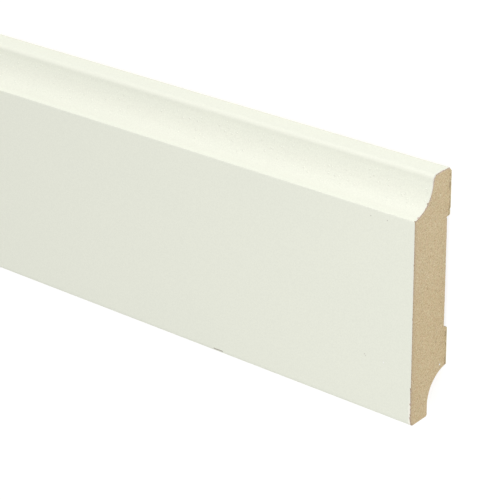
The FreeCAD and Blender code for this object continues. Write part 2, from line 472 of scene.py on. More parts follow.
def moulding_tree():
    """Runs the section given as edges along X, and lets the saw fray both of its ends."""
    tree = Modelling(MOULDING, {
        "Length": 2.4, "Bays": BAYS, "Closed Ends": False,
        "Fray": 0.0, "Fray Size": 0.5 * MM, "Seed": 0, "Material": None,
    })
    given = tree.given
    half = tree.product(given["Length"], 0.5)
    start = tree.out("ShaderNodeCombineXYZ", X=tree.product(half, -1.0))
    end = tree.out("ShaderNodeCombineXYZ", X=half)
    line = tree.out("GeometryNodeCurvePrimitiveLine", Start=start, End=end)
    path = tree.out("GeometryNodeResampleCurve", Curve=line, Count=tree.maths("ADD", given["Bays"], 1.0))
    section = tree.out("GeometryNodeMeshToCurve", Mesh=given["Geometry"])
    tube = tree.out("GeometryNodeCurveToMesh", i0=path, i1=section, Fill_Caps=given["Closed Ends"])
    swept = tree.out("GeometryNodeFlipFaces", Mesh=tube)
    # Each point of an end steps back by a little fraying, and at the near end by its own chip too
    place = tree.out("GeometryNodeInputPosition")
    along = tree.out("ShaderNodeSeparateXYZ", Vector=place)
    outer = tree.maths("SUBTRACT", tree.maths("ABSOLUTE", along), half)
    at_end = tree.maths("GREATER_THAN", outer, -END_REACH)
    near = tree.maths("GREATER_THAN", along, 0.0)
    ragged = tree.out(
        "ShaderNodeTexNoise", {"noise_dimensions": "4D"}, Vector=place, W=given["Seed"],
        Scale=tree.maths("DIVIDE", 1.0, given["Fray Size"]), Detail=3.0, Roughness=0.7,
    )
    tooth = tree.product(tree.out("GeometryNodeInputNamedAttribute", Name=CHIP), near)
    back = tree.maths("ADD", tooth, tree.product(ragged, given["Fray"]))
    inwards = tree.product(back, tree.maths("SUBTRACT", 1.0, tree.product(near, 2.0)))
    step = tree.out("ShaderNodeCombineXYZ", X=inwards)
    return tree.ended(tree.out("GeometryNodeSetPosition", Geometry=swept, Selection=at_end, Offset=step))


def link_object(name, mesh):
    made = bpy.data.objects.new(name, mesh)
    bpy.context.scene.collection.objects.link(made)
    return made


def make_plain(made):
    """Turns the evaluated object into a plain mesh and takes its modifiers off."""
    bpy.context.view_layer.update()
    seen = bpy.context.evaluated_depsgraph_get()
    made.data = bpy.data.meshes.new_from_object(
        made.evaluated_get(seen), preserve_all_data_layers=True, depsgraph=seen,
    )
    made.modifiers.clear()
    made.data.name = made.name


def run_tree(made, name, make_tree, **inputs):
    """Runs a tree on the object, with its inputs set through their sockets' identifiers."""
    modifier = made.modifiers.new(name, "NODES")
    modifier.node_group = bpy.data.node_groups.get(name) or make_tree()
    items = modifier.node_group.interface.items_tree
    sockets = {item.name: item.identifier for item in items if item.in_out == "INPUT"}
    for label, value in inputs.items():
        modifier[sockets[label.replace("_", " ")]] = value
    make_plain(made)


def store_numbers(mesh, numbers, domain="POINT"):
    """Gives the mesh these attributes, each with a number for every point or face."""
    for name, values in numbers.items():
        layer = mesh.attributes.new(name, "FLOAT", domain)
        layer.data.foreach_set("value", np.array(values, np.float32))


def read_numbers(mesh, name):
    """The numbers that an attribute holds for the mesh's points."""
    values = np.empty(len(mesh.vertices), np.float32)
    mesh.attributes[name].data.foreach_get("value", values)
    return values


def moulded(name, path, closed, numbers, **inputs):
    """A piece swept along the board. Its section is turned, so that height ends up on Y and depth on Z."""
    mesh = bpy.data.meshes.new("section")
    edges = [(i, i + 1) for i in range(len(path) - 1)]
    if closed:
        edges.append((len(path) - 1, 0))
    mesh.from_pydata([(-p.x, -p.y, 0.0) for p in path], edges, [])
    store_numbers(mesh, numbers)
    made = link_object(name, mesh)
    run_tree(made, MOULDING, moulding_tree, **inputs)
    made.data.transform(Matrix.Translation((0.0, BOARD_LOW.y, BOARD_LOW.z)))
    return made


def smooth_by_angle(mesh, limit=WALL_CREASE):
    """Smooth faces, with edges kept sharp where the surface turns by more than the limit."""
    mesh.shade_smooth()
    mesh.set_sharp_from_angle(angle=limit)


# Free margin in a bake map, as a share of a bay's length and of its height
BAY_MARGIN = 0.01
WALL_MARGIN = 0.04


def wall_map(mesh, length):
    """A bake map that cuts the long walls into bays and stacks them, so that its pixels stay about square."""
    places = np.empty(len(mesh.vertices) * 3)
    mesh.vertices.foreach_get("co", places)
    out = places[::3] + length / 2
    along = read_numbers(mesh, RUNNING)
    layer = mesh.uv_layers.new(name=BAKE_MAP)
    bay_length = length / BAYS
    for face in mesh.polygons:
        centre = sum(out[v] for v in face.vertices) / len(face.vertices)
        bay = min(BAYS - 1, max(0, int(centre / bay_length)))
        shares = [float(along[v]) for v in face.vertices]
        wraps = max(shares) - min(shares) > 0.5
        for corner, vertex, value in zip(face.loop_indices, face.vertices, shares):
            value = 1.0 if wraps and value < 0.5 else value
            u = min(1.0, max(0.0, out[vertex] / bay_length - bay))
            v = (bay + WALL_MARGIN + (1 - 2 * WALL_MARGIN) * value) / BAYS
            layer.data[corner].uv = (BAY_MARGIN + (1 - 2 * BAY_MARGIN) * u, v)


def finish_piece(made):
    """Ties a finished piece to the board's body and hides the board's node from the CAD model."""
    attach(made, BODY)
    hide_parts(NODE)


# Materials


class Finish(Nodes):
    """A material under construction."""

    def __init__(self, name):
        self.material = bpy.data.materials.new(name)
        self.material.use_nodes = True
        super().__init__(self.material.node_tree)
        self.shader = self.tree.nodes["Principled BSDF"]
        self.place = self.node("ShaderNodeTexCoord").outputs["Object"]
        self.along, self.high, _ = self.node("ShaderNodeSeparateXYZ", Vector=self.place).outputs

    def link(self, output, socket):
        self.tree.links.new(output, self.shader.inputs[socket])

    def scaled(self, *lengths):
        """Object coordinates, scaled so that a pattern is this long along each axis."""
        return self.out("ShaderNodeMapping", Vector=self.place, Scale=[1 / length for length in lengths])

    def noise(self, *lengths, detail=2.0, roughness=0.5, seed=0.0):
        """Noise whose blotches are about this long along each axis."""
        return self.out(
            "ShaderNodeTexNoise", {"noise_dimensions": "4D"}, Vector=self.scaled(*lengths), W=seed,
            Scale=1.0, Detail=detail, Roughness=roughness,
        )

    def flecks(self, board, stretch, **settings):
        """Noise whose blotches are as long as a fleck of the board, drawn out along each axis."""
        return self.noise(*(board.fleck_size * part for part in stretch), **settings)

    def ranged(self, value, low, high, to_low=0.0, to_high=1.0):
        return self.out(
            "ShaderNodeMapRange", {"interpolation_type": "SMOOTHSTEP"}, Value=value,
            i1=low, i2=high, i3=to_low, i4=to_high,
        )

    def by_distance(self, distance, low, high, near=1.0, far=0.0):
        """One value up to a distance of low millimetres, another from high millimetres on."""
        return self.ranged(distance, low * MM, high * MM, near, far)

    def by_height(self, band, below=0.0, above=1.0):
        """One value below a band of heights, which are given in millimetres, and another above it."""
        low, high = (BOARD_LOW.y + height * MM for height in band)
        return self.ranged(self.high, low, high, below, above)

    def between(self, rise, fall, most=1.0):
        """Rises from 0 over the first band of heights and falls back over the second."""
        return self.product(self.by_height(rise, 0.0, most), self.by_height(fall, 1.0, 0.0))

    def distance_to(self, from_end, height, depth):
        """Distance to a spot that lies this many millimetres from near end, bottom edge and back."""
        spot = (BOARD_HIGH.x - from_end * MM, BOARD_LOW.y + height * MM, BOARD_LOW.z + depth * MM)
        made = self.node("ShaderNodeVectorMath", {"operation": "DISTANCE"}, i0=self.place, i1=spot)
        return made.outputs["Value"]

    def mixed(self, factor, first, second):
        """A colour between two, each of them an output or its red, green and blue."""
        first, second = (c if isinstance(c, bpy.types.NodeSocket) else (*c, 1.0) for c in (first, second))
        return self.node("ShaderNodeMix", {"data_type": "RGBA"}, i0=factor, i6=first, i7=second).outputs[2]

    def times(self, tint, factor):
        """A colour times another one or times a number."""
        return self.out("ShaderNodeVectorMath", {"operation": "MULTIPLY"}, i0=tint, i1=factor)

    def attribute(self, name):
        return self.node("ShaderNodeAttribute", {"attribute_name": name}).outputs["Fac"]

    def bump(self, height, distance):
        self.link(self.out("ShaderNodeBump", Height=height, Distance=distance, Strength=1.0), "Normal")


def toned(tint, factors):
    """A colour with each of its parts times a factor."""
    return [min(1.0, part * factor) for part, factor in zip(tint, factors)]


# Noise values between which a pattern turns from one tone to the other
SOFT = (0.3, 0.7)
FIRM = (0.35, 0.65)
BARK = (0.67, 0.74)
STRAW = (0.625, 0.725)
CRUSHED = (0.43, 0.56)
BURNT = (0.49, 0.58)

# Lengths in metres of the foil's clouds and smudges along each axis
CLOUDS = (0.06, 0.03, 0.03)
SMUDGES = (0.02, 0.008, 0.008)

# Brightness of the plain foil, how much painted light lifts the shade under the nose, how much of the cove's
# painted shade the nose has, and how much stronger speckle and dimples are in the cove
PLAIN_LEVEL = 0.98
PAINTED_LIGHT_BELOW_NOSE = 0.022
NOSE_SHADE_SHARE = 0.9
COVE_SPECKLE = 0.4
COVE_PEEL = 0.5

# Heights in millimetres between which the foil changes
COVE_BEGINS = (59.1, 59.5)
COVE_FADES = (63.5, 66.5)
NOSE_BEGINS = (68.3, 68.6)
NOSE_ENDS = (69.4, 69.6)
ROUGH_BEGINS = (59.5, 61.0)
ROUGH_ENDS = (67.0, 68.5)
UNDER_NOSE = (65.8, 66.8)
AT_NOSE = (67.9, 68.4)
PALE_STRIP_FADES = (5.0, 11.0)

# Paper that the saw has laid bare beside the near end, partly a painted highlight where the foil's lifted
# edge
# catches the light: where it begins and is full, in millimetres from the end, and its strength
PALE_STRIP_REACH = (0.72, 0.58)
PALE_STRIP_MOST = 0.85

# Heights in millimetres between which the fibreboard changes
UPPER_HALF = (33.0, 44.0)
BEHIND_COVE = (62.0, 66.0)
BEHIND_FOOT = (57.5, 59.0)
GLUE_THINS = (11.0, 13.0)
GLUE_WIDENS = (57.0, 61.0)
GLUE_PALES = (58.0, 60.0)

# Distances in millimetres from the back's crushed edges over which the fibreboard changes
CRUSH_BEGINS = (0.1, 0.4)
CRUSH_ENDS = (0.5, 0.95)
BLEACH_FADES = (0.1, 0.45)

# Distances in millimetres from the foil over which the fibreboard changes
BROWN_FADES = (2.0, 7.5)
DENSE_FADES = (0.4, 1.5)
DOTS_FADE = (0.1, 0.4)

# Tones of the fibreboard, as factors of red, green and blue
DARK_SIDE = (0.8, 0.7, 0.585)
PALE_SIDE = (1.18, 1.275, 1.41)
GREENISH = (0.965, 1.02, 0.94)
REDDISH = (1.04, 0.965, 0.97)
BLEACHED = (0.97, 1.1, 1.0)
LOWER_SHADE = (0.974, 0.974, 0.975)
UPPER_SHADE = (0.984, 0.996, 1.02)

# How much the patches of hue and the flecks cover what lies under them
HUE_SHARE = 0.35
FLECK_SHARE = 0.95

# Lengths of the fibreboard's patterns along each axis, as factors of a fleck's width
FINE_STRETCH = (1.0, 1.3, 0.8)
HUE_STRETCH = (5.0, 5.0, 4.0)
BARK_STRETCH = (0.9, 1.1, 0.7)
STRAW_STRETCH = (0.8, 1.2, 0.6)
BURNT_STRETCH = (1.0, 1.2, 1.0)
NAP_STRETCH = (1.0, 1.0, 0.5)
NAP_HEIGHT = 0.05 * MM

# Depth in millimetres of the flat face, and colours of single marks, among them a painted glint and the
# painted shade of a chip
FACE_DEPTH = 15.0
DIRT = (0.45, 0.42, 0.38)
PAINTED_GLINT = (0.98, 0.99, 0.95)
CHIP_SHADE = (0.26, 0.22, 0.18)
PAPER = (0.95, 0.95, 0.93)

# Specks on the foil, the last of them a painted glint on a faint patch of dirt: distance from the near end,
# height and radius in millimetres, strength, and colour
FOIL_SPECKS = (
    (9.08, 56.87, 0.25, 1.0, DIRT),
    (14.61, 56.76, 0.25, 1.0, DIRT),
    (15.95, 16.52, 0.25, 1.0, DIRT),
    (15.67, 16.08, 0.25, 0.8, DIRT),
    (9.43, 16.01, 0.8, 0.12, DIRT),
    (9.43, 16.01, 0.4, 1.0, PAINTED_GLINT),
)

# A chip in the foil on the toe, painted dark for the board it lays bare and for painted shade in it: distance
# from the near end, height, half its length, half its width, in millimetres
TOE_CHIP_SHADE = (69.55, 0.95, 1.85, 0.19)

# A white crumb of foil on the near end: distance from the end, height, depth and radius in millimetres
WHITE_CRUMB = (0.02, 14.05, 2.73, 0.26)

# Pimples in the cove: spacing, reach as a share of it, height in peel heights, and how much lighter their
# painted highlight makes them
PIMPLE_SPACING = 1.6 * MM
PIMPLE_REACH = 0.2
PIMPLE_HEIGHT = 8.0
PIMPLE_HIGHLIGHT = 0.3


def toe_chip_shade(finish):
    """Strength of the painted chip on the toe, dark for its board and for painted shade, which is broken
    along its length.
    """
    from_end, height, half_length, half_width = TOE_CHIP_SHADE
    broken = finish.noise(0.5 * MM, 0.3 * MM, 0.3 * MM, seed=20.0)
    along = finish.maths("ABSOLUTE", finish.maths("SUBTRACT", finish.along, BOARD_HIGH.x - from_end * MM))
    wander = finish.product(finish.maths("SUBTRACT", broken, 0.5), 0.5 * MM)
    off_line = finish.maths("SUBTRACT", finish.high, BOARD_LOW.y + height * MM)
    across = finish.maths("ABSOLUTE", finish.maths("ADD", off_line, wander))
    ends = finish.by_distance(along, half_length - 0.2, half_length)
    return finish.product(ends, finish.by_distance(across, 0.5 * half_width, 1.3 * half_width, 0.82))


def foil_marks(finish, foil, tint):
    """The foil's colour with its specks and painted glint, its chip on the toe painted dark with painted
    shade, and the paper that the saw has laid bare, partly a painted highlight beside the near end.
    """
    for from_end, height, radius, strength, speck in FOIL_SPECKS:
        reach = finish.distance_to(from_end, height, FACE_DEPTH)
        tint = finish.mixed(finish.by_distance(reach, 0.0, radius, strength), tint, speck)
    begins, full = (BOARD_HIGH.x - from_end * MM for from_end in PALE_STRIP_REACH)
    beside_end = finish.ranged(finish.along, begins, full)
    # Painted highlight in part: the strip low down beside the near end is made paler where the foil's lifted
    # edge catches the light
    lifted_edge_highlight = finish.product(beside_end, finish.by_height(PALE_STRIP_FADES, PALE_STRIP_MOST, 0.0))
    paper_and_highlight = finish.maths("MAXIMUM", lifted_edge_highlight, finish.attribute(CUT))
    # The chip on the toe is painted dark: board laid bare, with painted shade in the chip
    return finish.mixed(toe_chip_shade(finish), finish.mixed(paper_and_highlight, tint, foil.cut_tint), CHIP_SHADE)


def foil_finish(foil):
    """Warm white satin foil with fine dimples, faint clouding, pimples in the cove and a few marks, with
    painted shade on the lower cove and nose, painted light under the nose and painted highlights on the
    pimples.
    """
    finish = Finish("White foil")
    clouds = finish.ranged(finish.noise(*CLOUDS, detail=3.0), *FIRM)
    tint = finish.mixed(clouds, foil.tint, foil.tint_worn)
    low_cove = finish.between(COVE_BEGINS, COVE_FADES)
    # Painted shade: the lower cove and the nose take the darker colour, which dims them where they catch the
    # most light
    painted_in_shade = finish.maths("MAXIMUM", finish.between(NOSE_BEGINS, NOSE_ENDS, NOSE_SHADE_SHARE), low_cove)
    tint = finish.mixed(painted_in_shade, tint, foil.painted_shade_tint)
    in_cove = finish.between(ROUGH_BEGINS, ROUGH_ENDS)
    spacing = finish.scaled(PIMPLE_SPACING, PIMPLE_SPACING, PIMPLE_SPACING)
    dust = finish.out("ShaderNodeTexVoronoi", Vector=spacing, Scale=1.0)
    pimples = finish.product(finish.ranged(dust, 0.0, PIMPLE_REACH, 1.0, 0.0), in_cove)
    size = foil.peel_size
    paper = finish.ranged(finish.noise(size, size, size, detail=1.0, seed=3.0), *SOFT, 0.5, -0.5)
    amount = finish.maths("MULTIPLY_ADD", in_cove, COVE_SPECKLE * foil.speckle, foil.speckle)
    # Painted light: the foil is made lighter in the band under the nose, which lifts the shade there
    level = finish.maths("MULTIPLY_ADD", finish.between(UNDER_NOSE, AT_NOSE), PAINTED_LIGHT_BELOW_NOSE, PLAIN_LEVEL)
    # Painted highlight: each pimple is made lighter in colour, besides being raised
    level = finish.maths("MULTIPLY_ADD", pimples, PIMPLE_HIGHLIGHT, level)
    tint = finish.times(tint, finish.maths("MULTIPLY_ADD", paper, amount, level))
    finish.link(foil_marks(finish, foil, tint), "Base Color")
    smudges = finish.noise(*SMUDGES, detail=3.0, seed=5.0)
    finish.link(finish.ranged(smudges, *SOFT, foil.roughness - 0.05, foil.roughness + 0.06), "Roughness")
    # The foil is rougher in the cove, with a pimple here and there over a grain of dust
    peel = finish.noise(size, size, size, roughness=0.6, seed=8.0)
    rough = finish.product(peel, finish.maths("MULTIPLY_ADD", in_cove, COVE_PEEL, 1.0))
    finish.bump(finish.maths("MULTIPLY_ADD", pimples, PIMPLE_HEIGHT, rough), foil.peel_height)
    return finish.material


def fibre_pattern(finish, board):
    """The board's mottled colour: fine flecks that lie flat between back and face, over soft patches."""
    dark, pale, green, red = (toned(board.tint, tone) for tone in (DARK_SIDE, PALE_SIDE, GREENISH, REDDISH))
    fine = finish.flecks(board, FINE_STRETCH, detail=1.0)
    mottled = finish.mixed(finish.ranged(fine, *SOFT), dark, pale)
    hue = finish.flecks(board, HUE_STRETCH, detail=3.0, roughness=0.6, seed=2.0)
    patched = finish.mixed(HUE_SHARE, mottled, finish.mixed(finish.ranged(hue, *FIRM), green, red))
    bark = finish.flecks(board, BARK_STRETCH, detail=1.0, seed=4.0)
    darker = finish.mixed(finish.ranged(bark, *BARK, 0.0, FLECK_SHARE), patched, board.dark)
    straw = finish.flecks(board, STRAW_STRETCH, detail=1.0, seed=6.0)
    flecked = finish.mixed(finish.ranged(straw, *STRAW, 0.0, FLECK_SHARE), darker, board.pale)
    return finish.times(flecked, finish.mixed(finish.by_height(UPPER_HALF), LOWER_SHADE, UPPER_SHADE))


def crushed_rim(finish, board, tint):
    """Darker along the crushed edges of the back, and bleached at the very edge."""
    crushed = finish.noise(1.0 * MM, 1.7 * MM, 1.0 * MM, seed=14.0)
    gap = finish.attribute(FROM_RAW)
    begins = finish.by_distance(gap, *CRUSH_BEGINS, 0.1, 1.0)
    rim = finish.product(begins, finish.by_distance(gap, *CRUSH_ENDS))
    crush = finish.product(rim, finish.ranged(crushed, *CRUSHED, 0.05, 0.75))
    tint = finish.mixed(crush, tint, board.dark)
    return finish.mixed(finish.by_distance(gap, *BLEACH_FADES, 0.6), tint, toned(board.tint, BLEACHED))


def browned(finish, board, depth_in, tint):
    """A little browner towards the face, most of all right behind the foil."""
    browner = finish.product(
        finish.by_height(BEHIND_COVE, 1.0, 0.0), finish.by_distance(depth_in, *BROWN_FADES, 0.055),
    )
    dense = finish.product(
        finish.by_height(BEHIND_FOOT, 1.0, 0.0), finish.by_distance(depth_in, *DENSE_FADES, 0.22),
    )
    soaked = [(a + b) / 2 for a, b in zip(board.dark, board.glue)]
    return finish.mixed(dense, finish.mixed(browner, tint, board.dark), soaked)


def glued(finish, board, depth_in, tint):
    """Mauve where the foil's glue has soaked in, with burnt dots along it."""
    line = board.glue_line
    patchy = finish.noise(0.5 * MM, 1.2 * MM, 0.8 * MM, seed=12.0)
    lower = finish.by_height(GLUE_THINS, 1.25, 0.7)
    upper = finish.by_height(GLUE_WIDENS, 0.0, 0.9)
    spread = finish.ranged(patchy, *SOFT, 0.25 * line, 1.6 * line)
    wide = finish.product(finish.maths("ADD", lower, upper), spread)
    left = finish.maths("SUBTRACT", 1.0, finish.maths("DIVIDE", depth_in, wide))
    near = finish.out("ShaderNodeClamp", Value=left)
    glue = finish.mixed(finish.by_height(GLUE_PALES), board.glue, board.glue_pale)
    tint = finish.mixed(finish.maths("POWER", near, 0.6), tint, glue)
    burnt = finish.flecks(board, BURNT_STRETCH, detail=1.0, seed=16.0)
    dots = finish.product(finish.by_distance(depth_in, *DOTS_FADE), finish.ranged(burnt, *BURNT, 0.0, 0.85))
    return finish.mixed(dots, tint, board.dark)


def fibreboard_finish(board):
    """Raw fibreboard, mauve where the foil's glue has soaked in and darker along its crushed edges."""
    finish = Finish(RAW_BOARD)
    depth_in = finish.attribute(FROM_FOIL)
    tint = crushed_rim(finish, board, fibre_pattern(finish, board))
    tint = glued(finish, board, depth_in, browned(finish, board, depth_in, tint))
    *spot, radius = WHITE_CRUMB
    crumb = finish.by_distance(finish.distance_to(*spot), 0.6 * radius, 1.4 * radius)
    finish.link(finish.mixed(crumb, tint, PAPER), "Base Color")
    finish.shader.inputs["Roughness"].default_value = 0.9
    finish.shader.inputs["Specular IOR Level"].default_value = 0.3
    finish.bump(finish.flecks(board, NAP_STRETCH, detail=4.0, roughness=0.7, seed=1.0), NAP_HEIGHT)
    return finish.material


def torn_fibre_finish(board):
    """Single fibres, each of its own tone between dark and pale."""
    finish = Finish(FIBRES)
    tone = finish.attribute(TONE)
    lower = finish.mixed(finish.ranged(tone, 0.0, 0.5), board.dark, board.tint)
    finish.link(finish.mixed(finish.ranged(tone, 0.5, 1.0), lower, board.pale), "Base Color")
    finish.shader.inputs["Roughness"].default_value = 0.85
    return finish.material


# The pieces


def settings_of(scene):
    """The settings of the section, the foil and the fibreboard."""
    return scene.skirting_section, scene.skirting_foil, scene.skirting_board_stock


def mdf_body(scene):
    """The moulded length itself, without the slices at its sawn ends."""
    section, foil, board = settings_of(scene)
    outline, coated = board_outline(section, foil)
    numbers = {
        RUNNING: running_shares(outline, True),
        FROM_FOIL: [0.0 if under else FAR_OFF for under in coated],
        FROM_RAW: [FAR_OFF] * len(outline),
        CHIP: [0.0] * len(outline),
    }
    length = section.length - 2 * (board.slice - SLICE_LAP)
    material = bpy.data.materials.get(RAW_BOARD) or fibreboard_finish(board)
    made = moulded(
        "mdf_body", outline, True, numbers, Material=material, Length=length, Bays=BAYS, Closed_Ends=True,
    )
    smooth_by_angle(made.data)
    wall_map(made.data, length)
    finish_piece(made)


# Chips in the foil at the near end, in millimetres: height and depth of the deepest point on the section,
# how far the chip goes in, and how far it runs out towards the toe and towards the top
FOIL_CHIPS = (
    (11.3, FACE_DEPTH, 0.34, 0.6, 0.1),
    (10.9, FACE_DEPTH, 0.2, 4.6, 0.1),
    (6.7, FACE_DEPTH, 0.36, 0.8, 0.1),
    (5.1, FACE_DEPTH, 0.14, 1.0, 0.3),
    (3.6, FACE_DEPTH, 0.2, 1.2, 0.1),
    (2.8, FACE_DEPTH, 0.34, 1.2, 0.1),
    (58.95, 14.7, 0.42, 0.35, 0.15),
    (59.5, 13.3, 0.62, 0.45, 0.3),
    (59.8, 12.6, 0.14, 1.6, 1.4),
    (61.3, 10.5, 0.12, 0.9, 0.7),
    (62.35, 9.75, 0.45, 0.35, 0.2),
    (69.7, 4.2, 0.3, 0.5, 0.9),
    (31.5, FACE_DEPTH, 0.12, 0.4, 0.3),
    (46.6, FACE_DEPTH, 0.12, 0.3, 0.3),
)


def chip_depths(path):
    """How far the foil's near end is chipped back at each point of its path."""
    run = runs_along(path)
    depths = np.zeros(len(path))
    for height, depth, deep, towards_toe, towards_top in FOIL_CHIPS:
        gap = run - run[nearest_on(path, height, depth)]
        reach = np.where(gap < 0, -gap / (towards_toe * MM), gap / (towards_top * MM))
        depths = np.maximum(depths, deep * MM * np.clip(1 - reach, 0, 1))
    return depths


def thicken(made, foil):
    """Gives the foil's outer surface its thickness, inwards and as it was stored for each point."""
    group = made.vertex_groups.new(name=THICKNESS)
    for index, value in enumerate(read_numbers(made.data, THICKNESS)):
        group.add([index], float(value) / foil.nose_thickness, "REPLACE")
    thick = made.modifiers.new("Foil thickness", "SOLIDIFY")
    thick.thickness = foil.nose_thickness
    thick.vertex_group = group.name
    thick.offset = -1.0
    thick.use_even_offset = True
    make_plain(made)
    made.vertex_groups.clear()


# A face of the foil belongs to its cut ends where its normal points this much along the board
FACING_END = 0.7


def foil_facing(scene):
    """The white foil on toe, face, cove, nose and top."""
    section, foil, _ = settings_of(scene)
    path = coated_path(section, foil)
    numbers = {
        RUNNING: running_shares(path, False),
        CHIP: chip_depths(path),
        THICKNESS: foil_thicknesses(path, foil),
    }
    made = moulded(
        "foil_facing", path, False, numbers, Material=foil_finish(foil),
        Length=section.length - 2 * FACE_SET_BACK, Bays=BAYS, Fray=foil.fray, Seed=foil.seed,
    )
    thicken(made, foil)
    smooth_by_angle(made.data)
    wall_map(made.data, section.length)
    cut = [float(abs(face.normal.x) > FACING_END) for face in made.data.polygons]
    store_numbers(made.data, {CUT: cut}, "FACE")
    finish_piece(made)


# Wear of the raw edge at the near end, in millimetres: lowest and highest height, lowest and highest depth,
# how deep it goes, and how softly it ends
NEAR_WEAR = (56.1, 58.1, 0.0, 1.4, 0.2, 0.4)

# Rings behind the sawn face: how far back each lies in millimetres, and how much of the wear it still shows
END_RINGS = ((0.15, 0.5), (0.3, 0.25), (1.0, 0.0))

# The back pads' edges are crushed where the outline lies less than this deep
PAD_SKIN = 0.35 * MM


# Noise that crumbles the raw edges and tears the faces: its scale per millimetre, its smoothness, the step
# between its octaves and their number. What is torn is flatter from back to face, and shallower near an edge.
CRUMBLE_SCALE = 1.3
CRUMBLE = (0.8, 2.2, 3)
TORN_SCALE = 1.6
TORN = (0.6, 2.1, 4)
TORN_FLATNESS = 1.8
TORN_AT_EDGE = 0.4

# Wear of a raw edge: its share in the shelter of the foot and how softly that ends, its mean and its swing
# with the noise, and the same two for the deeper wear at the near end
SHELTERED = 0.3
SHELTER_FADE = 3 * MM
WEAR_MEAN = 0.25
WEAR_SWING = 1.5
BITE_MEAN = 0.9
BITE_SWING = 0.4

# A grid of points on a sawn face: how far each is jittered and how clear of the rim it stays, as shares of
# the grid's spacing
JITTER = 0.3
RIM_GAP = 0.55

# Its triangulation: only what lies inside the rim is kept, and places this near in millimetres count as one
INSIDE_ONLY = 1
SAME_PLACE = 1e-5


def faded(value, low, high, fade):
    """1 between low and high, falling to 0 over the fade outside them."""
    outside = max(low - value, value - high, 0.0)
    return max(0.0, 1.0 - outside / fade)


def end_wear(place, direction, section, board, seed, near):
    """How the raw edge of a sawn end has crumbled at this place: a step into the board."""
    spot = Vector((place.x, place.y, seed)) / MM
    crumble = noise.fractal(spot * CRUMBLE_SCALE, *CRUMBLE)
    open_share = faded(place.x, section.rear_cove_top, section.height, SHELTER_FADE)
    exposed = SHELTERED + (1 - SHELTERED) * open_share
    step = direction * board.arris_wear * exposed * max(0.0, WEAR_MEAN + WEAR_SWING * crumble)
    if near:
        low, high, shallow, deep, bite, fade = NEAR_WEAR
        within = faded(place.x / MM, low, high, fade) * faded(place.y / MM, shallow, deep, fade)
        step += Vector((0.0, bite * MM * within * (BITE_MEAN + BITE_SWING * crumble)))
    return step


def inside(outline, place):
    """True if the place lies within the closed outline."""
    hit = False
    for a, b in zip(outline, outline[1:] + outline[:1]):
        if (a.y > place.y) != (b.y > place.y):
            if place.x < (b.x - a.x) * (place.y - a.y) / (b.y - a.y) + a.x:
                hit = not hit
    return hit


def distances(places, path):
    """Distance from each place of the section to a path."""
    places, path = np.array([tuple(p) for p in places]), np.array([tuple(p) for p in path])
    best = np.full(len(places), 1.0)
    for start, step in zip(path, np.diff(path, axis=0)):
        t = np.clip(((places - start) @ step) / (step ** 2).sum(), 0, 1)
        best = np.minimum(best, np.linalg.norm(places - (start + t[:, None] * step), axis=1))
    return best


def torn_depth(place, gap, board, seed):
    """How far the saw has torn the end's face back at this place."""
    spot = Vector((place.x, place.y * TORN_FLATNESS, seed)) / MM
    torn = 0.5 + 0.5 * noise.fractal(spot * TORN_SCALE, *TORN)
    return board.tear * torn * min(1.0, TORN_AT_EDGE + gap / MM)


def face_points(ring, section, board, seed):
    """The ring of a sawn face and a jittered grid of points inside it."""
    rng = random.Random(seed)
    grid = board.grain
    candidates = []
    for i in range(int(section.height / grid) + 1):
        for j in range(int(section.thickness / grid) + 1):
            jitter = Vector((rng.uniform(-JITTER, JITTER), rng.uniform(-JITTER, JITTER))) * grid
            candidates.append(Vector((i * grid, j * grid)) + jitter)
    clear = distances(candidates, ring + ring[:1])
    return ring + [c for c, gap in zip(candidates, clear) if gap > grid * RIM_GAP and inside(ring, c)]


def sawn_face(ring, section, board, seed):
    """The triangulated end: its places, its faces, and the ring's points as numbers among the places."""
    size = len(ring)
    spots = [p / MM for p in face_points(ring, section, board, seed)]
    boundary = [(i, (i + 1) % size) for i in range(size)]
    found = delaunay_2d_cdt(spots, boundary, [list(range(size))], INSIDE_ONLY, SAME_PLACE)
    places, _, faces, origins, _, _ = found
    rim = {source: index for index, sources in enumerate(origins) for source in sources if source < size}
    return [Vector(p) * MM for p in places], [tuple(face) for face in faces], [rim[i] for i in range(size)]


def stretch_of(outline, flags, wanted):
    """The longest stretch of the closed outline whose flags match, as an open path."""
    start = next(i for i in range(len(flags)) if flags[i] == wanted and flags[i - 1] != wanted)
    turned = [(start + i) % len(flags) for i in range(len(flags))]
    return [outline[i] for i in turned if flags[i] == wanted]


